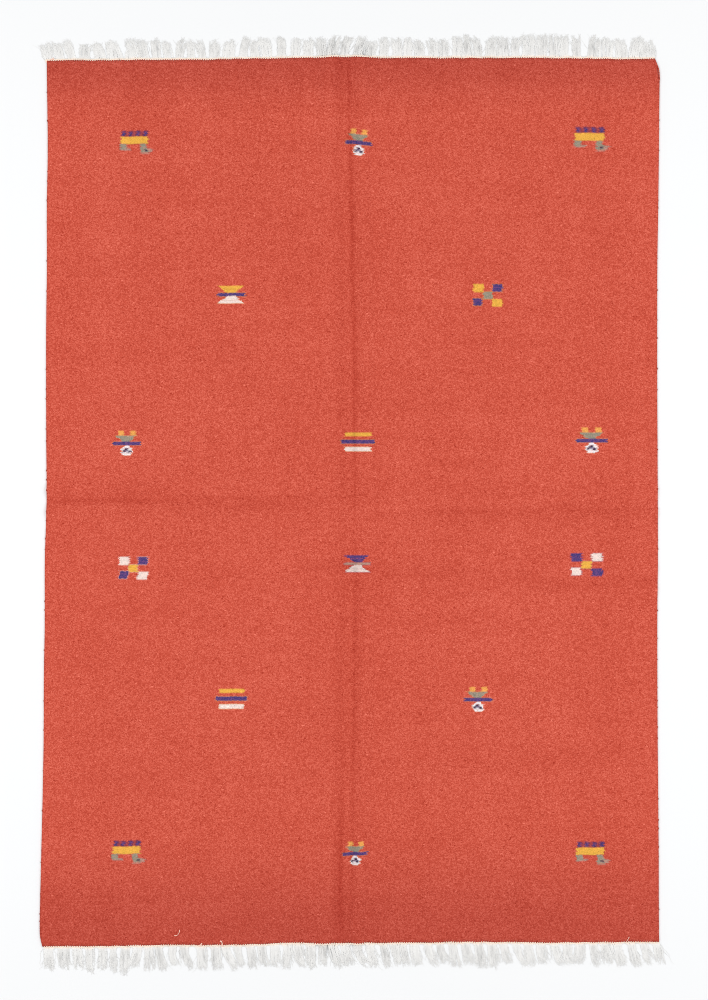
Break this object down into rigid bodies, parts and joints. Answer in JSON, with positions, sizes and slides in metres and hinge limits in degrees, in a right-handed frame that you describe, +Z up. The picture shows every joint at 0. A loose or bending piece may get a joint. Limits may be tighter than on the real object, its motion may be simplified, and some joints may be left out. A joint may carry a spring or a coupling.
{
  "type": "fringed kilim rug",
  "caption": "Flat-woven rectangular wool rug with small woven motifs and a cotton fringe along each end, made to lie flat on a floor.",
  "frame": {"origin": "middle of the whole rug's outline, fringes included, on the floor it lies on", "axes": "+Z up out of the face, +Y along the length towards the top fringe of the picture, +X across the width to the right of the picture"},
  "size_m": [1.6298, 2.4362, 0.0128],
  "materials": {
    "wool": "heathered weft-faced wool, matt",
    "cotton": "loose plied cotton yarn, matt"
  },
  "bodies": {
    "root": {"rug_field": "wool", "fringe_top": "cotton", "fringe_bottom": "cotton"}
  },
  "joints": []
}
